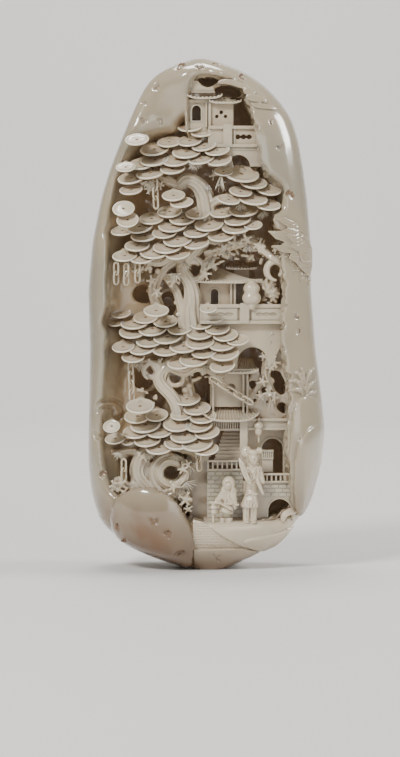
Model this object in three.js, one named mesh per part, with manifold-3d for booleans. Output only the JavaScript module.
// A white jade boulder carved in openwork. A pine with four tiers of disc-shaped needle clusters
// climbs a deep niche beside three pavilions, and two robed figures stand on the ledge below.
// Everything but the loose chain links is one stone.
// Millimetres, +Z up, the carved front faces -Y, and the origin is under the middle of the stone.

import * as THREE from 'three';
import { mergeVertices } from 'three/addons/utils/BufferGeometryUtils.js';
import Module from 'manifold-3d';

const wasm = await Module();
wasm.setup();

// Driving sizes of the stone
const STONE_HEIGHT = 280;
const STONE_WIDTH = 131;
const STONE_DEPTH = 72;
const BACK_WALL = 21;          // stone left behind the niche
const LEFT_WALL_EXTRA = 11;    // the left side of the niche slopes and ends this much sooner
const RIM_DEPTH = 11;          // the niche walls run straight to this depth behind the front
const RELIEF = 1.5;            // slabs on the rim stand out from the pebble by this much
const SLAB_THICKNESS = 8;
const MOUND_LIFT = 3.5;
const MOUND_THICKNESS = 14;
const SIDE_BOULDER_LIFT = 3;
const SIDE_BOULDER_THICKNESS = 12;
const RING_SIDES = 18;         // facets round the stone
const PEBBLE_POWER = 2.3;      // 2 is an ellipse, more is squarer
const SMALLEST_FACET = 0.25;

// Needle discs and the wood that carries them
const DISC_DIAMETER = 14.6;
const DISC_THICKNESS = 1.4;
const DISC_ARC = 3;            // facets round the front half
const DISC_TILT = 23;          // degrees, top face towards the viewer
const DISC_STAGGER = 0.9;      // neighbours in a row stand this far above and below its line
const DISC_INSET = 1.2;        // the lowest row stays this far inside the pebble's surface
const ROW_PITCH = 4.62;
const ROW_STEP = 2.7;          // each higher row sits this much deeper
const BOUGH_BEHIND = 3.6;      // the bough behind a row starts this far behind the disc centres
const BOUGH_THICKNESS = 5;
const BOUGH_OVERHANG = 1.02;   // past the outer disc centres, in disc radii
const BOUGH_RISE = 1.6;        // above the middle of its top row
const BOUGH_FOOT = [2, 3.2];   // drawn in and hanging below its lowest row
const TRUNK_RADIUS = 6;
const BRANCH_RADIUS = 2.3;
const KNOT_RADIUS = 2.1;
const TWIG_RADIUS = 1.5;

// Loose chains
const LINK_LENGTH = 8;
const LINK_WIDTH = 4.6;
const LINK_WIRE = 1.2;
const LINK_END = 0.75;         // width of the flat ends against the middle
const LINK_CLEARANCE = 0.5;
const LINK_TURN = 45;          // degrees, links alternate left and right of the front

// Buildings
const COLUMN_WIDTH = 2.2;
const RAIL_HEIGHT = 1.3;
const RAIL_THICKNESS = 2.4;
const POST_WIDTH = 1.4;
const ROOF_UPTURN = 2.4;
const ROOF_EDGE = 1.5;
const WINDOW_DEPTH = 8;
const WINDOW_HALF_WIDTH = 2.2;
const TOP_ARCH = 7.2;          // half the width of each arch
const MIDDLE_ARCH = 8.3;
const GATE_ARCH = 5.8;
const BRIDGE_ARCH = 6.4;
const STORE_SETBACK = 5;       // of the brick block, behind the bridge
const ARCH_FACETS = 5;
const STEPS = 4;

// Figures
const TALL_FIGURE_HEIGHT = 41;
const SHORT_FIGURE_HEIGHT = 25;

// The stone's outline from foot to top: height, left edge and right edge as shares of the
// height and of half the width, and the bulge as a share of half the depth.
const STATIONS = [
  [0.000, -0.165, 0.190, 0.44],
  [0.030, -0.430, 0.465, 0.62],
  [0.049, -0.665, 0.570, 0.73],
  [0.070, -0.820, 0.640, 0.80],
  [0.100, -0.912, 0.740, 0.87],
  [0.205, -0.998, 0.975, 0.98],
  [0.270, -0.996, 1.000, 1.00],
  [0.428, -0.983, 0.920, 1.00],
  [0.546, -0.996, 0.882, 0.98],
  [0.724, -0.890, 0.848, 0.93],
  [0.783, -0.814, 0.814, 0.89],
  [0.840, -0.720, 0.772, 0.84],
  [0.885, -0.640, 0.710, 0.78],
  [0.950, -0.505, 0.480, 0.62],
  [0.975, -0.400, 0.325, 0.48],
  [0.992, -0.260, 0.160, 0.29],
  [1.000, -0.120, 0.020, 0.12],
];

// The niche's mouth, as shares of half the width and of the height, anticlockwise from the top.
const NICHE_MOUTH = [
  [-0.12, 0.945], [0.02, 0.963], [0.29, 0.945], [0.32, 0.917], [0.42, 0.874], [0.43, 0.787],
  [0.53, 0.738], [0.59, 0.675], [0.64, 0.566], [0.63, 0.428], [0.69, 0.329], [0.70, 0.211],
  [0.75, 0.120], [0.66, 0.098], [0.30, 0.092], [-0.02, 0.094], [-0.16, 0.108], [-0.48, 0.120],
  [-0.76, 0.148], [-0.84, 0.231], [-0.86, 0.329], [-0.83, 0.467], [-0.80, 0.714], [-0.70, 0.806],
  [-0.51, 0.852], [-0.24, 0.862], [-0.17, 0.890],
];
const MOUTH_CENTRE = [-0.06, 0.50];
const INNER_SHARE = [0.86, 0.97];  // the inner outline against the mouth, across and up
const LEFT_SLOPE = 0.10;           // extra slope of the left wall, as a share of half the width

// Outlines of what lies on the rim, anticlockwise: the big boulder at the lower left, the smaller
// one at the right, and the slab of ground in front of the figures.
const MOUND = [
  [-0.80, 0.132], [-0.83, 0.108], [-0.79, 0.083], [-0.64, 0.055], [-0.42, 0.032], [-0.18, 0.008],
  [-0.11, 0.030], [-0.10, 0.073], [-0.16, 0.118], [-0.27, 0.148], [-0.48, 0.164], [-0.69, 0.158],
];
const SIDE_BOULDER = [
  [0.79, 0.336], [0.73, 0.312], [0.70, 0.262], [0.69, 0.196], [0.70, 0.140], [0.74, 0.118], [0.82, 0.152],
  [0.89, 0.200], [0.92, 0.258], [0.88, 0.315],
];
const GROUND_SLAB = [
  [-0.04, 0.102], [-0.05, 0.084], [0.10, 0.066], [0.30, 0.052], [0.50, 0.060], [0.62, 0.080], [0.72, 0.110],
  [0.35, 0.106],
];

// Sprays of needle discs: the height of the top row, the turn of its face to the left in degrees,
// and for each row from the top down its first and last disc across and its count. A small spray
// has no bough: each disc has a twig to the place on the trunk given.
const SPRAYS = {
  crown: {
    top: 0.862, turn: -14,
    rows: [[-0.13, -0.03, 2], [-0.55, -0.10, 3], [-0.43, 0.09, 4], [-0.43, 0.11, 4], [-0.67, -0.28, 3],
      [-0.63, -0.46, 2], [-0.63, -0.63, 1]],
  },
  crown_right: {
    top: 0.777, turn: 14,
    rows: [[0.14, 0.29, 2], [0.39, 0.39, 1], [0.28, 0.52, 2], [0.18, 0.51, 3]],
  },
  crown_front: {
    top: 0.731, turn: -8, twig: [-0.02, 0.715, -0.26],
    rows: [[-0.27, -0.27, 1], [-0.21, -0.21, 1]],
  },
  second: {
    top: 0.703, turn: -10,
    rows: [[-0.31, 0.31, 4], [-0.65, 0.30, 5], [-0.66, 0.25, 5], [-0.52, 0.12, 4], [-0.58, -0.09, 4],
      [-0.47, -0.24, 3], [-0.68, -0.54, 2]],
  },
  third: {
    top: 0.505, turn: -10,
    rows: [[-0.42, -0.42, 1], [-0.72, -0.34, 3], [-0.62, 0.09, 5], [-0.62, 0.26, 5], [-0.70, 0.13, 5],
      [-0.61, 0.15, 5], [-0.23, 0.13, 3]],
  },
  third_top: {
    top: 0.511, turn: 0, twig: [-0.12, 0.490, -0.26],
    rows: [[0.01, 0.01, 1], [0.06, 0.06, 1]],
  },
  fourth: {
    top: 0.319, turn: -12,
    rows: [[-0.55, -0.55, 1], [-0.58, -0.06, 4], [-0.75, -0.06, 4], [-0.59, 0.00, 4], [-0.76, -0.08, 4],
      [-0.50, 0.00, 3]],
  },
  fourth_top: {
    top: 0.334, turn: -6, twig: [-0.25, 0.318, -0.30],
    rows: [[-0.16, -0.16, 1], [-0.08, -0.08, 1]],
  },
};

// The pine's trunk from its roots to the crown: across, up, depth and thickness as shares of
// half the width, the height, half the depth and TRUNK_RADIUS.
const TRUNK = [
  [-0.29, 0.132, -0.36, 0.74], [-0.48, 0.154, -0.36, 0.74], [-0.58, 0.187, -0.34, 0.74],
  [-0.54, 0.219, -0.32, 0.74], [-0.43, 0.239, -0.30, 0.69], [-0.31, 0.252, -0.28, 0.64],
  [-0.24, 0.280, -0.28, 0.64], [-0.24, 0.310, -0.30, 0.64], [-0.29, 0.337, -0.32, 0.60],
  [-0.38, 0.361, -0.32, 0.60], [-0.40, 0.381, -0.30, 0.57], [-0.34, 0.398, -0.28, 0.60],
  [-0.24, 0.410, -0.26, 0.74], [-0.16, 0.438, -0.24, 1.01], [-0.13, 0.471, -0.24, 1.17],
  [-0.14, 0.503, -0.26, 1.15], [-0.16, 0.533, -0.28, 1.01], [-0.18, 0.562, -0.30, 0.78],
  [-0.20, 0.584, -0.32, 0.60], [-0.17, 0.604, -0.32, 0.52], [-0.10, 0.621, -0.30, 0.57],
  [-0.03, 0.643, -0.28, 0.64], [0.00, 0.671, -0.26, 0.64], [0.00, 0.702, -0.26, 0.64],
  [-0.02, 0.732, -0.28, 0.64], [-0.08, 0.753, -0.30, 0.61], [-0.17, 0.761, -0.30, 0.57],
  [-0.24, 0.751, -0.28, 0.46], [-0.33, 0.765, -0.24, 0.37],
];

// Branches and roots: thickness against BRANCH_RADIUS, then points as in TRUNK.
const BRANCHES = [
  [1.0, [[-0.24, 0.751, -0.28], [-0.35, 0.761, -0.26], [-0.48, 0.777, -0.22]]],
  [1.1, [[0.00, 0.710, -0.28], [0.10, 0.722, -0.34], [0.26, 0.732, -0.36], [0.38, 0.732, -0.34]]],
  [1.0, [[-0.08, 0.621, -0.30], [0.16, 0.629, -0.38], [0.37, 0.639, -0.44], [0.48, 0.621, -0.50],
    [0.59, 0.602, -0.54], [0.79, 0.578, -0.46]]],
  [0.9, [[-0.17, 0.602, -0.32], [-0.29, 0.609, -0.36], [-0.39, 0.598, -0.34], [-0.51, 0.602, -0.28],
    [-0.63, 0.602, -0.16]]],
  [0.9, [[-0.39, 0.381, -0.30], [-0.46, 0.404, -0.34], [-0.58, 0.404, -0.26], [-0.68, 0.396, -0.04]]],
  [1.0, [[-0.33, 0.396, -0.28], [-0.19, 0.385, -0.36], [-0.09, 0.394, -0.38], [0.02, 0.389, -0.36],
    [0.13, 0.369, -0.30]]],
  [1.7, [[-0.19, 0.306, -0.16], [-0.15, 0.337, -0.14], [-0.17, 0.373, -0.12], [-0.12, 0.408, -0.08]]],
  [0.9, [[-0.54, 0.221, -0.32], [-0.63, 0.231, -0.34], [-0.75, 0.227, -0.26], [-0.81, 0.231, -0.06]]],
  [1.0, [[-0.31, 0.250, -0.28], [-0.14, 0.231, -0.36], [-0.07, 0.211, -0.22], [-0.02, 0.191, 0.08]]],
  [1.2, [[-0.39, 0.148, -0.40], [-0.24, 0.152, -0.42], [-0.14, 0.134, -0.38]]],
  [1.0, [[-0.43, 0.239, -0.30], [-0.39, 0.226, -0.37], [-0.347, 0.212, -0.42]]],
  [1.0, [[-0.54, 0.164, -0.38], [-0.66, 0.164, -0.42], [-0.76, 0.176, -0.40]]],
  [1.5, [[-0.34, 0.483, 0.06], [-0.42, 0.521, -0.06], [-0.44, 0.552, -0.12], [-0.36, 0.586, -0.20],
    [-0.26, 0.602, -0.28]]],
  [1.1, [[0.45, 0.471, -0.20], [0.52, 0.428, -0.24], [0.49, 0.381, -0.26], [0.55, 0.341, -0.26],
    [0.52, 0.302, -0.20]]],
  [0.8, [[0.50, 0.373, -0.26], [0.42, 0.353, -0.24], [0.36, 0.325, -0.20]]],
];

// Where the wood curls into a ring: across, up, depth, and the ring's radius as a share of the
// stone's height.
const KNOT_RINGS = [
  [-0.295, 0.191, -0.42, 0.0243], [-0.451, 0.389, -0.34, 0.0157], [-0.114, 0.586, -0.34, 0.0200],
  [0.578, 0.586, -0.50, 0.0164],
];

// The serrated shelf of rock and needles that leans over the niche from the right
const SHELF = [
  [0.54, 0.690], [0.65, 0.680], [0.63, 0.672], [0.74, 0.663], [0.84, 0.650], [0.87, 0.645],
  [0.89, 0.618], [0.86, 0.590], [0.86, 0.577], [0.76, 0.602], [0.62, 0.621], [0.50, 0.633],
  [0.47, 0.641], [0.59, 0.643], [0.61, 0.650], [0.54, 0.656], [0.50, 0.663], [0.62, 0.668], [0.56, 0.677],
];
const SHELF_THICKNESS = 9;

// Chains. Each hangs from a disc, named by its spray, its row and its place in the row. The eye and
// the root of its stub are given in mm from that disc's middle: across, back and up. links counts the
// loose ones, and lean is that of the hanging line, in degrees. A chain over the mound starts high
// enough to end above it, and one that is strung to a place has as many links as fit.
const CHAINS = {
  crown: {
    disc: ['crown', 4, 1], links: 2, lean: 3,
    eye: [2.95, -3.16, -12.94], root: [3.60, 5.48, -4.54],
  },
  second_left: {
    disc: ['second', 6, 0], links: 1, lean: 0,
    eye: [-4.58, -2.14, -3.58], root: [-3.27, 6.50, 1.46],
  },
  second_middle: {
    disc: ['second', 6, 0], links: 1, lean: 0,
    eye: [0.92, -3.58, -4.14], root: [1.05, 5.06, 1.46],
  },
  second_right: {
    disc: ['second', 6, 1], links: 1, lean: 0,
    eye: [-2.23, -2.00, -4.54], root: [-1.96, 5.92, 1.34],
  },
  third: {
    disc: ['third', 4, 0], links: 3, lean: 2,
    eye: [4.39, -0.39, -11.70], root: [5.24, 3.57, -2.46],
  },
  fourth_left: {
    disc: ['fourth', 4, 0], links: 1, lean: 0, above: 0.165,
    eye: [4.59, -4.47, -12.54], root: [4.59, 4.17, 0.90],
  },
  fourth_right: {
    disc: ['fourth', 5, 2], links: 1, lean: 3,
    eye: [-4.39, 7.65, -2.60], root: [-4.39, 8.37, 1.88],
  },
  bridge: {
    disc: ['third', 6, 2], strungTo: [0.3391, 0.3314],
    eye: [-3.60, 7.10, -9.18], root: [-4.58, 6.38, 0.90],
  },
};

// Helpers

const NICHE_BACK = STONE_DEPTH / 2 - BACK_WALL;
const INTO_WALL = NICHE_BACK + 1;
const LINK_PITCH = LINK_LENGTH - 2 * LINK_WIRE - LINK_CLEARANCE;

const across = (share) => share * STONE_WIDTH / 2;
const up = (share) => share * STONE_HEIGHT;
const deep = (share) => share * STONE_DEPTH / 2;
const place = ([a, u, d = 0]) => new THREE.Vector3(across(a), deep(d), up(u));
const radians = THREE.MathUtils.degToRad;

// Lengths in whole 64ths keep a slanting face exactly flat.
const snapped = (value) => Math.round(value * 64) / 64;

// The stone's left edge, right edge and bulge at a share of its height.
function stoneAt(share) {
  const next = STATIONS.findIndex((row) => row[0] >= share);
  const high = STATIONS[Math.max(next, 1)];
  const low = STATIONS[Math.max(next, 1) - 1];
  const t = (share - low[0]) / (high[0] - low[0]);
  return [1, 2, 3].map((column) => low[column] + (high[column] - low[column]) * t);
}

// How far the pebble's front surface lies in front of the middle plane, as a negative y.
function frontSurface(a, u) {
  const [left, right, bulge] = stoneAt(u);
  const offset = Math.min(0.99, Math.abs(a - (left + right) / 2) / ((right - left) / 2));
  return -deep(bulge) * (1 - offset ** PEBBLE_POWER) ** (1 / PEBBLE_POWER);
}

// A closed solid from a geometry. One that came out inside out is turned round.
function solid(geometry) {
  const bare = geometry.index ? geometry.toNonIndexed() : geometry.clone();
  for (const name of Object.keys(bare.attributes)) {
    if (name !== 'position') bare.deleteAttribute(name);
  }
  const merged = mergeVertices(bare, 1e-4);
  const triVerts = new Uint32Array(merged.index.array);
  const vertProperties = merged.attributes.position.array;
  const made = new wasm.Manifold(new wasm.Mesh({ numProp: 3, vertProperties, triVerts }));
  if (made.volume() > 0) return made;
  for (let i = 0; i < triVerts.length; i += 3) {
    [triVerts[i + 1], triVerts[i + 2]] = [triVerts[i + 2], triVerts[i + 1]];
  }
  return new wasm.Manifold(new wasm.Mesh({ numProp: 3, vertProperties, triVerts }));
}

const joined = (solids) => wasm.Manifold.union(solids);
const positions = (points) => new THREE.Float32BufferAttribute(points.flatMap((p) => p.toArray()), 3);

// The solid between a stack of rings with the same number of points. flatten gives the plane in
// which the end rings are filled, so that an end may be hollow in outline.
function loft(rings, flatten = null) {
  const count = rings[0].length;
  const points = rings.flat();
  const faces = [];
  for (let r = 0; r + 1 < rings.length; r++) {
    for (let i = 0; i < count; i++) {
      const j = (i + 1) % count;
      const [a, b, c, d] = [r * count + i, r * count + j, (r + 1) * count + j, (r + 1) * count + i];
      faces.push(a, b, c, a, c, d);
    }
  }
  const fill = (ring, start, turned) => {
    const outline = ring.map(flatten ?? ((p) => new THREE.Vector2(p.x, p.y)));
    const triangles = flatten
      ? THREE.ShapeUtils.triangulateShape(outline, [])
      : ring.slice(2).map((_, i) => [0, i + 1, i + 2]);
    for (const [a, b, c] of triangles) {
      faces.push(...(turned ? [start + c, start + b, start + a] : [start + a, start + b, start + c]));
    }
  };
  const area = (ring) => THREE.ShapeUtils.area(ring.map(flatten ?? ((p) => new THREE.Vector2(p.x, p.y))));
  const positive = !flatten || area(rings[0]) > 0;
  fill(rings[0], 0, positive);
  fill(rings.at(-1), (rings.length - 1) * count, !positive);
  const geometry = new THREE.BufferGeometry();
  geometry.setAttribute('position', positions(points));
  geometry.setIndex(faces);
  return solid(geometry);
}

// A round bar through points, with a radius at each.
function limb(points, radii, sides, steps) {
  const curve = new THREE.CatmullRomCurve3(points, false, 'centripetal');
  const frames = curve.computeFrenetFrames(steps);
  const rings = [];
  for (let i = 0; i <= steps; i++) {
    const t = curve.getUtoTmapping(i / steps);
    const at = t * (radii.length - 1);
    const low = Math.min(Math.floor(at), radii.length - 2);
    const radius = THREE.MathUtils.lerp(radii[low], radii[low + 1], at - low);
    const centre = curve.getPointAt(i / steps);
    rings.push(Array.from({ length: sides }, (_, k) => {
      const angle = 2 * Math.PI * k / sides;
      return centre.clone()
        .addScaledVector(frames.normals[i], radius * Math.cos(angle))
        .addScaledVector(frames.binormals[i], radius * Math.sin(angle));
    }));
  }
  return loft(rings);
}

// A plate with the given front view, between two depths.
function plate(outline, front, back) {
  const shape = new THREE.Shape(outline.map(([a, u]) => new THREE.Vector2(across(a), up(u))));
  const geometry = new THREE.ExtrudeGeometry(shape, { depth: back - front, bevelEnabled: false });
  return solid(geometry.rotateX(Math.PI / 2).translate(0, back, 0));
}

// A box between two shares across, two shares up and two depths in millimetres.
function block(left, right, bottom, top, front, back) {
  const size = [across(right - left), back - front, up(top - bottom)];
  const geometry = new THREE.BoxGeometry(...size);
  return solid(geometry.translate(across((left + right) / 2), (front + back) / 2, up((bottom + top) / 2)));
}

function ellipsoid(centre, radii, sides, rows) {
  const geometry = new THREE.SphereGeometry(1, sides, rows).rotateX(Math.PI / 2);
  return solid(geometry.scale(...radii).translate(centre.x, centre.y, centre.z));
}

// The outline of a round-headed notch from its left foot to its right one. half is in millimetres.
function archNotch(middle, foot, crown, half) {
  const wide = 2 * half / STONE_WIDTH;
  const tall = half / STONE_HEIGHT;
  const arc = Array.from({ length: ARCH_FACETS + 1 }, (_, i) => Math.PI * (1 - i / ARCH_FACETS));
  const curve = arc.map((angle) => [middle + wide * Math.cos(angle), crown - tall + tall * Math.sin(angle)]);
  return [[middle - wide, foot], ...curve, [middle + wide, foot]];
}

// A round-headed recess to cut into a wall whose front is given.
const recess = (middle, sill, crown, front) =>
  plate(archNotch(middle, sill, crown, WINDOW_HALF_WIDTH), front - 1, front + WINDOW_DEPTH);

// The stone

function pebble() {
  const rounded = (v) => Math.sign(v) * Math.abs(v) ** (2 / PEBBLE_POWER);
  const rings = STATIONS.map(([height, left, right, bulge]) =>
    Array.from({ length: RING_SIDES }, (_, k) => {
      const angle = 2 * Math.PI * k / RING_SIDES;
      return new THREE.Vector3(
        across((left + right) / 2) + across((right - left) / 2) * rounded(Math.cos(angle)),
        deep(bulge) * rounded(Math.sin(angle)),
        up(height),
      );
    }));
  return loft(rings);
}

// What is cut away to make the niche: straight from outside to the mouth, then narrowing.
function nicheCut() {
  const [middle, level] = MOUTH_CENTRE;
  const mouth = (y) => NICHE_MOUTH.map(([a, u]) => new THREE.Vector3(across(a), y, up(u)));
  const inner = NICHE_MOUTH.map(([a, u]) => {
    const onLeft = a < -0.4;
    const inside = middle + (a - middle) * INNER_SHARE[0] + (onLeft ? LEFT_SLOPE : 0);
    const end = NICHE_BACK - (onLeft ? LEFT_WALL_EXTRA : 0);
    return new THREE.Vector3(across(inside), end, up(level + (u - level) * INNER_SHARE[1]));
  });
  return loft([mouth(-STONE_DEPTH), mouth(RIM_DEPTH - STONE_DEPTH / 2), inner], frontView);
}

// A point on the pebble's front, lifted off it.
const onFront = (a, u, lift) => new THREE.Vector3(across(a), frontSurface(a, u) - lift, up(u));
const frontView = (p) => new THREE.Vector2(p.x, p.z);

// A slab that follows the pebble's front.
function slab(outline, lift, thickness) {
  const ring = (height) => outline.map(([a, u]) => onFront(a, u, height));
  return loft([ring(lift), ring(lift - thickness)], frontView);
}

// A boulder on the rim: rings that draw in towards its middle as they rise from the pebble.
function boulder(outline, lift, thickness) {
  const middle = [0, 1].map((k) => outline.reduce((sum, point) => sum + point[k], 0) / outline.length);
  const ring = (share, height) => outline.map(([a, u]) =>
    onFront(THREE.MathUtils.lerp(middle[0], a, share), THREE.MathUtils.lerp(middle[1], u, share), height));
  return loft([ring(1, -thickness), ring(1, -0.3 * lift), ring(0.93, 0.45 * lift), ring(0.72, 0.85 * lift),
    ring(0.3, lift)], frontView);
}

function rocks() {
  return [
    boulder(MOUND, MOUND_LIFT, MOUND_THICKNESS),
    boulder(SIDE_BOULDER, SIDE_BOULDER_LIFT, SIDE_BOULDER_THICKNESS),
    slab(GROUND_SLAB, RELIEF, SLAB_THICKNESS),
    slab(SHELF, RELIEF, SHELF_THICKNESS),
  ];
}

// The pine

function trunk() {
  return limb(TRUNK.map(place), TRUNK.map((row) => row[3] * TRUNK_RADIUS), 6, 26);
}

function branches() {
  return BRANCHES.map(([thickness, points]) => {
    const radius = thickness * BRANCH_RADIUS;
    return limb(points.map(place), [radius, radius, radius * 0.6], 4, points.length - 1);
  });
}

function knotRings() {
  return KNOT_RINGS.map(([a, u, d, radius]) => {
    const geometry = new THREE.TorusGeometry(up(radius), KNOT_RADIUS, 4, 8).rotateX(Math.PI / 2);
    const centre = place([a, u, d]);
    return solid(geometry.translate(centre.x, centre.y, centre.z));
  });
}

// One disc, tipped towards the viewer. Its back runs straight into the wood.
function needleDisc(centre, turn) {
  const radius = DISC_DIAMETER / 2;
  const arc = Array.from({ length: DISC_ARC + 1 }, (_, k) => Math.PI * (1 + k / DISC_ARC));
  const outline = [...arc.map((angle) => [radius * Math.cos(angle), radius * Math.sin(angle)]),
    [radius, radius], [-radius, radius]];
  const ring = (rise) => outline.map(([x, y]) => new THREE.Vector3(x, y, rise)
    .applyAxisAngle(new THREE.Vector3(1, 0, 0), radians(DISC_TILT))
    .applyAxisAngle(new THREE.Vector3(0, 0, 1), radians(turn)).add(centre));
  return loft([ring(-DISC_THICKNESS / 2), ring(DISC_THICKNESS / 2)]);
}

// The centres of a spray's discs, row by row. They keep to a leaning plane that is pushed back until
// every disc is inside the pebble's surface.
function discRows({ top, turn, rows }) {
  const slope = snapped(ROW_STEP / ROW_PITCH);
  const sideways = snapped(Math.tan(radians(turn)));
  const centres = rows.map(([first, last, count], row) =>
    Array.from({ length: count }, (_, i) => {
      const x = across(count > 1 ? first + (last - first) * i / (count - 1) : first);
      const z = up(top) - row * ROW_PITCH;
      return new THREE.Vector3(x, sideways * x + slope * z, z + (i % 2 ? 1 : -1) * DISC_STAGGER);
    }));
  const room = centres.flat().map((p) =>
    frontSurface(2 * p.x / STONE_WIDTH, p.z / STONE_HEIGHT) + DISC_INSET + DISC_DIAMETER / 2 - p.y);
  const back = snapped(Math.max(...room));
  centres.flat().forEach((p) => { p.y += back; });
  return { centres, plane: (x, z) => sideways * x + slope * z + back };
}

// A spray: its discs, and the bough or the twigs that carry them.
function spray(facts) {
  const { centres, plane } = discRows(facts);
  const behind = new THREE.Vector3(0, BOUGH_BEHIND, BOUGH_BEHIND * Math.tan(radians(DISC_TILT)));
  const twig = (centre) =>
    limb([centre.clone().add(behind), place(facts.twig)], [TWIG_RADIUS, TWIG_RADIUS], 4, 1);
  const discs = centres.flat();
  return [
    ...discs.map((centre) => needleDisc(centre, facts.turn)),
    ...(facts.twig ? discs.map(twig) : [bough(centres, plane, behind.z)]),
  ];
}

// The slanting wood behind the discs, a little wider than they are.
function bough(centres, plane, rise) {
  const reach = BOUGH_OVERHANG * DISC_DIAMETER / 2;
  const side = (row, end, way) => [row.at(end).x + way * reach, row.at(end).z + rise];
  const left = centres.map((row) => side(row, 0, -1));
  const right = centres.map((row) => side(row, -1, 1)).reverse();
  const [inward, drop] = BOUGH_FOOT;
  left[0][1] += BOUGH_RISE;
  right.at(-1)[1] += BOUGH_RISE;
  const below = [[left.at(-1)[0] + inward, left.at(-1)[1] - drop], [right[0][0] - inward, right[0][1] - drop]];
  const outline = [...left, ...below, ...right];
  const shape = new THREE.Shape(outline.map(([x, z]) => new THREE.Vector2(snapped(x), snapped(z))));
  const geometry = new THREE.ExtrudeGeometry(shape, { depth: BOUGH_THICKNESS, bevelEnabled: false });
  const position = geometry.attributes.position;
  for (let i = 0; i < position.count; i++) {
    const [x, z, depth] = [position.getX(i), position.getY(i), position.getZ(i)];
    position.setXYZ(i, x, plane(x, z) + snapped(BOUGH_BEHIND + depth), z);
  }
  return solid(geometry);
}

// Buildings

// A hipped roof whose front corners turn up. Shares across and up, its front in mm, and where the
// ridge starts and ends across.
function hippedRoof(left, right, eaves, ridge, front, [ridgeLeft, ridgeRight], upturn = ROOF_UPTURN) {
  const depth = INTO_WALL - front;
  const lift = up(ridge - eaves);
  const ring = (l, r, near, z, corner) => [
    [r, INTO_WALL, z], [l, INTO_WALL, z],
    [l, near, z + corner], [l + (r - l) * 0.2, near, z], [r - (r - l) * 0.2, near, z], [r, near, z + corner],
  ].map(([a, y, height]) => new THREE.Vector3(across(a), y, height));
  return loft([
    ring(left, right, front, up(eaves), upturn),
    ring(left, right, front, up(eaves) + ROOF_EDGE, upturn),
    ring(ridgeLeft, ridgeRight, front + depth * 0.45, up(eaves) + lift, 0),
  ]);
}

// A railing: a top rail on evenly spaced posts.
function railing(left, right, bottom, top, front, posts) {
  const rail = RAIL_HEIGHT / STONE_HEIGHT;
  const half = POST_WIDTH / STONE_WIDTH;
  const made = [block(left, right, top - rail, top, front, front + RAIL_THICKNESS)];
  for (let i = 0; i < posts; i++) {
    const a = left + half + (right - left - 2 * half) * i / (posts - 1);
    made.push(block(a - half, a + half, bottom, top - rail / 2, front + 0.3, front + RAIL_THICKNESS - 0.3));
  }
  return made;
}

function column(middle, bottom, top, front, width = COLUMN_WIDTH) {
  const half = width / STONE_WIDTH;
  return block(middle - half, middle + half, bottom, top, front, front + width);
}

function topPavilion() {
  const front = deep(-0.26);
  const terrace = deep(-0.38);
  return [
    block(-0.17, 0.225, 0.855, 0.914, front, INTO_WALL).subtract(recess(-0.08, 0.877, 0.903, front)),
    column(0.013, 0.860, 0.912, front - 1.4),
    hippedRoof(-0.19, 0.27, 0.911, 0.924, front - 5, [-0.15, 0.22]),
    hippedRoof(-0.19, 0.14, 0.928, 0.953, front - 3, [-0.15, 0.00], ROOF_UPTURN * 1.4),
    block(-0.18, 0.11, 0.918, 0.932, front + 1, INTO_WALL),
    plate([[0.03, 0.765], ...archNotch(0.257, 0.765, 0.806, TOP_ARCH), [0.47, 0.765], [0.47, 0.864],
      [0.03, 0.864]], terrace, INTO_WALL),
    block(0.03, 0.45, 0.860, 0.866, terrace - 1.6, terrace + 1),
    block(0.03, 0.45, 0.826, 0.833, terrace - 1.6, terrace + 1),
    column(0.18, 0.826, 0.868, terrace - 2.2, 2.6),
  ];
}

function middlePavilion() {
  const front = deep(-0.20);
  const terrace = deep(-0.42);
  const base = deep(-0.36);
  return [
    block(-0.10, 0.215, 0.515, 0.565, front, INTO_WALL).subtract(recess(0.068, 0.519, 0.548, front)),
    column(0.235, 0.513, 0.564, front - 3),
    block(0.21, 0.35, 0.515, 0.564, front + 7, INTO_WALL),
    hippedRoof(-0.12, 0.42, 0.560, 0.598, front - 7, [-0.02, 0.07], ROOF_UPTURN * 0.5),
    block(0.20, 0.35, 0.570, 0.592, front + 8, INTO_WALL),
    hippedRoof(0.16, 0.42, 0.588, 0.603, front + 4, [0.22, 0.36], ROOF_UPTURN * 0.5),
    ellipsoid(place([0.385, 0.538, -0.46]), [4.6, 4.6, 7], 7, 5),
    block(-0.06, 0.65, 0.481, 0.517, terrace, INTO_WALL),
    block(-0.06, 0.65, 0.511, 0.519, terrace - 1.6, terrace + 1),
    block(-0.06, 0.65, 0.479, 0.486, terrace - 1.6, terrace + 1),
    column(0.315, 0.479, 0.520, terrace - 2.4, 3.6),
    plate([[-0.02, 0.395], ...archNotch(0.384, 0.395, 0.435, MIDDLE_ARCH), [0.53, 0.440], [0.62, 0.455],
      [0.62, 0.484], [-0.02, 0.484]], base, INTO_WALL),
  ];
}

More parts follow.
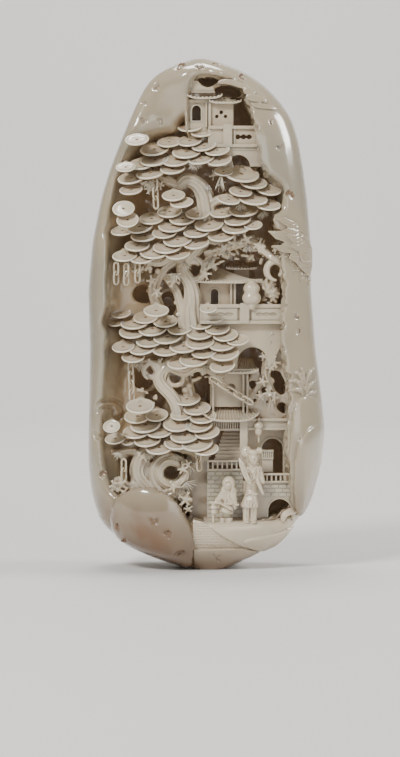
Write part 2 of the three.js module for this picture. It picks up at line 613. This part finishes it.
function lowerPavilion() {
  const front = deep(-0.30);
  const deck = deep(-0.44);
  const gate = deep(-0.20);
  return [
    block(0.00, 0.345, 0.318, 0.388, front, INTO_WALL).subtract(recess(0.207, 0.347, 0.363, front)),
    column(0.32, 0.300, 0.392, front - 2.6),
    column(0.04, 0.300, 0.392, front - 2.6),
    hippedRoof(0.00, 0.42, 0.384, 0.412, front - 6, [0.20, 0.38]),
    hippedRoof(-0.03, 0.40, 0.293, 0.328, deep(-0.62), [0.02, 0.36], ROOF_UPTURN * 2),
    block(0.00, 0.33, 0.286, 0.300, deck + 4, INTO_WALL),
    ...railing(0.04, 0.285, 0.272, 0.292, deck, 4),
    column(0.313, 0.205, 0.300, deck - 1.6, 3.8),
    block(0.32, 0.72, 0.273, 0.295, deck, INTO_WALL),
    ellipsoid(place([0.435, 0.284, -0.48]), [2, 2, 3.6], 5, 4),
    plate([[0.32, 0.170], [0.45, 0.170], ...archNotch(0.555, 0.184, 0.2505, GATE_ARCH), [0.66, 0.170],
      [0.74, 0.170], [0.74, 0.276], [0.32, 0.276]], gate, INTO_WALL),
  ];
}

// The stairs, the two brick walls with their railings, and the arched bridge.
function terraces() {
  const brick = deep(-0.34);
  const bridge = deep(-0.46);
  const steps = Array.from({ length: STEPS }, (_, i) => {
    const bottom = 0.215 + i * 0.056 / STEPS;
    return block(0.10 + 0.014 * i, 0.29, 0.20, bottom + 0.010, brick + 1 + 3 * i, INTO_WALL);
  });
  return [
    block(0.00, 0.31, 0.085, 0.197, brick, INTO_WALL),
    ...railing(0.01, 0.285, 0.193, 0.214, brick - 1.5, 4),
    plate([[0.30, 0.085], [0.50, 0.085], ...archNotch(0.60, 0.094, 0.133, BRIDGE_ARCH), [0.71, 0.112],
      [0.75, 0.174], [0.30, 0.174]], bridge, INTO_WALL),
    ...railing(0.46, 0.74, 0.170, 0.189, bridge - 1.5, 4),
    block(0.465, 0.555, 0.165, 0.216, bridge + STORE_SETBACK, INTO_WALL),
    ...steps,
  ];
}

// Figures

// A stack of oval rings: each row is height and the half width and half depth, as shares of a size.
function ovalStack(foot, size, rows, sides = 7) {
  return loft(rows.map(([height, wide, thick, shift = 0]) =>
    Array.from({ length: sides }, (_, k) => {
      const angle = 2 * Math.PI * k / sides;
      return new THREE.Vector3(
        foot.x + size * (shift + wide * Math.cos(angle)),
        foot.y + size * thick * Math.sin(angle),
        foot.z + size * height,
      );
    })));
}

// The tall one, in a long coat with a hanging sleeve and a high collar, with a bundle at the back.
function tallFigure() {
  const foot = place([0.37, 0.094, -0.60]);
  const size = TALL_FIGURE_HEIGHT;
  const point = (x, y, z) => foot.clone().add(new THREE.Vector3(x, y, z).multiplyScalar(size));
  return [
    ovalStack(foot, size, [[0, 0.10, 0.09], [0.22, 0.085, 0.08], [0.23, 0.20, 0.15], [0.30, 0.17, 0.14],
      [0.38, 0.10, 0.10], [0.48, 0.13, 0.12], [0.66, 0.15, 0.13], [0.76, 0.12, 0.10], [0.80, 0.05, 0.05]]),
    ellipsoid(point(0.045, -0.03, 0.87), [0.075 * size, 0.08 * size, 0.09 * size], 7, 5),
    ellipsoid(point(-0.02, 0.02, 0.94), [0.06 * size, 0.06 * size, 0.06 * size], 6, 4),
    limb([point(-0.20, -0.06, 0.80), point(-0.07, -0.12, 0.58), point(0.16, -0.09, 0.34)],
      [0.02 * size, 0.07 * size, 0.03 * size], 6, 4),
    limb([point(0.12, -0.02, 0.68), point(0.19, -0.10, 0.52), point(0.10, -0.15, 0.44)],
      [0.07 * size, 0.06 * size, 0.03 * size], 6, 3),
  ];
}

// The short one, stooping, with wide sleeves over a staff with a gourd.
function shortFigure() {
  const foot = place([0.165, 0.091, -0.66]);
  const size = SHORT_FIGURE_HEIGHT;
  const point = (x, y, z) => foot.clone().add(new THREE.Vector3(x, y, z).multiplyScalar(size));
  return [
    ovalStack(foot, size, [[0, 0.22, 0.16], [0.30, 0.16, 0.13], [0.34, 0.30, 0.20, 0.02],
      [0.50, 0.34, 0.22, 0.01], [0.66, 0.28, 0.20], [0.78, 0.16, 0.14]]),
    ellipsoid(point(0.03, -0.03, 0.86), [0.17 * size, 0.16 * size, 0.17 * size], 7, 5),
    limb([point(-0.42, -0.16, 0.46), point(0.34, -0.16, 0.46)], [0.05 * size, 0.05 * size], 5, 1),
    limb([point(-0.36, -0.14, -0.02), point(-0.38, -0.16, 0.46)], [0.045 * size, 0.04 * size], 5, 1),
    ellipsoid(point(-0.36, -0.15, 0.33), [0.09 * size, 0.08 * size, 0.09 * size], 6, 4),
  ];
}

// Chains

// A link is a closed loop of wire with flat ends, in the plane turned about the hanging line.
function link(centre, turn, lean) {
  const wire = LINK_WIRE / 2;
  const half = LINK_WIDTH / 2 - wire;
  const tall = LINK_LENGTH / 2 - wire;
  const points = [[1, 0], [LINK_END, 1], [-LINK_END, 1], [-1, 0], [-LINK_END, -1], [LINK_END, -1]]
    .map(([x, z]) => new THREE.Vector3(half * x, 0, tall * z));
  const rings = points.map((point, i) => {
    const along = points[(i + 1) % points.length].clone().sub(points.at(i - 1)).normalize();
    const outward = new THREE.Vector3(along.z, 0, -along.x);
    return [45, 135, 225, 315].map((corner) => point.clone()
      .addScaledVector(outward, 1.2 * wire * Math.cos(radians(corner)))
      .add(new THREE.Vector3(0, 1.2 * wire * Math.sin(radians(corner)), 0)));
  });
  const geometry = new THREE.BufferGeometry();
  const at = (ring, corner) => (ring % rings.length) * 4 + corner % 4;
  const faces = rings.flatMap((_, r) => [0, 1, 2, 3].flatMap((k) =>
    [at(r, k), at(r, k + 1), at(r + 1, k + 1), at(r, k), at(r + 1, k + 1), at(r + 1, k)]));
  geometry.setAttribute('position', positions(rings.flat()));
  geometry.setIndex(faces);
  geometry.rotateZ(radians(turn)).rotateY(radians(-lean));
  return geometry.translate(centre.x, centre.y, centre.z);
}

const hangingLine = (lean) => new THREE.Vector3(Math.sin(radians(lean)), 0, -Math.cos(radians(lean)));

// A place given from the middle of one disc of a spray.
function fromDisc([sprayName, row, number], offset) {
  const { centres } = discRows(SPRAYS[sprayName]);
  return centres[row][number].clone().add(new THREE.Vector3(...offset));
}

// How a chain lies: its eye's middle, its lean in degrees and its number of loose links.
function chainLine({ disc, eye, links, lean, above, strungTo }) {
  const top = fromDisc(disc, eye);
  if (strungTo) {
    const [x, z] = [across(strungTo[0]) - top.x, up(strungTo[1]) - top.z];
    const fitting = Math.floor(Math.hypot(x, z) / LINK_PITCH + 0.02);
    return { top, lean: THREE.MathUtils.radToDeg(Math.atan2(x, -z)), links: fitting };
  }
  if (above) top.z = Math.max(top.z, up(above) + LINK_PITCH * links + LINK_LENGTH / 2);
  return { top, lean, links };
}

// The links of one chain: the first is the eye, which is part of the stone.
function chain(facts) {
  const { top, lean, links } = chainLine(facts);
  return Array.from({ length: links + 1 }, (_, i) => {
    const centre = top.clone().addScaledVector(hangingLine(lean), LINK_PITCH * i);
    return link(centre, i % 2 ? LINK_TURN : -LINK_TURN, lean);
  });
}

// The stub of stone that the eye of a chain hangs from.
function chainRoot(facts) {
  const { top, lean } = chainLine(facts);
  const start = top.clone().addScaledVector(hangingLine(lean), LINK_WIRE / 2 - LINK_LENGTH / 2);
  return limb([start, fromDisc(facts.disc, facts.root)], [LINK_WIRE, LINK_WIRE * 1.4], 4, 1);
}

// The object

const chains = Object.entries(CHAINS).map(([name, facts]) => [name, chain(facts)]);
const carved = joined([
  pebble().subtract(nicheCut()),
  ...rocks(),
  trunk(),
  ...branches(),
  ...knotRings(),
  ...Object.values(SPRAYS).flatMap(spray),
  ...topPavilion(),
  ...middlePavilion(),
  ...lowerPavilion(),
  ...terraces(),
  ...tallFigure(),
  ...shortFigure(),
  ...chains.map(([, links]) => solid(links[0])),
  ...Object.values(CHAINS).map(chainRoot),
]);

const JADE = new THREE.MeshStandardMaterial({
  name: 'white_jade', color: 0xd6cdbb, roughness: 0.32, metalness: 0,
});

function geometryOf(made) {
  const mesh = made.getMesh();
  const geometry = new THREE.BufferGeometry();
  geometry.setAttribute('position', new THREE.BufferAttribute(mesh.vertProperties, 3));
  geometry.setIndex(new THREE.BufferAttribute(mesh.triVerts, 1));
  geometry.computeVertexNormals();
  return geometry;
}

const pieces = carved.asOriginal().simplify(SMALLEST_FACET).decompose()
  .filter((piece) => piece.volume() > 0.01)
  .sort((p, q) => q.volume() - p.volume());
if (pieces.length > 1) {
  const corners = pieces.slice(1).map((piece) => [...piece.boundingBox().min, ...piece.boundingBox().max]);
  const boxes = corners.map((box) => box.map(Math.round).join(' '));
  throw new Error(`the stone is not one piece, also: ${boxes.join('; ')}`);
}

const group = new THREE.Group();
const carving = new THREE.Mesh(geometryOf(pieces[0]), JADE);
carving.name = 'jade_boulder';
group.add(carving);
for (const [name, links] of chains) {
  links.slice(1).forEach((geometry, i) => {
    const mesh = new THREE.Mesh(geometry, JADE);
    mesh.name = `chain_${name}_link_${i + 1}`;
    group.add(mesh);
  });
}

export default group;
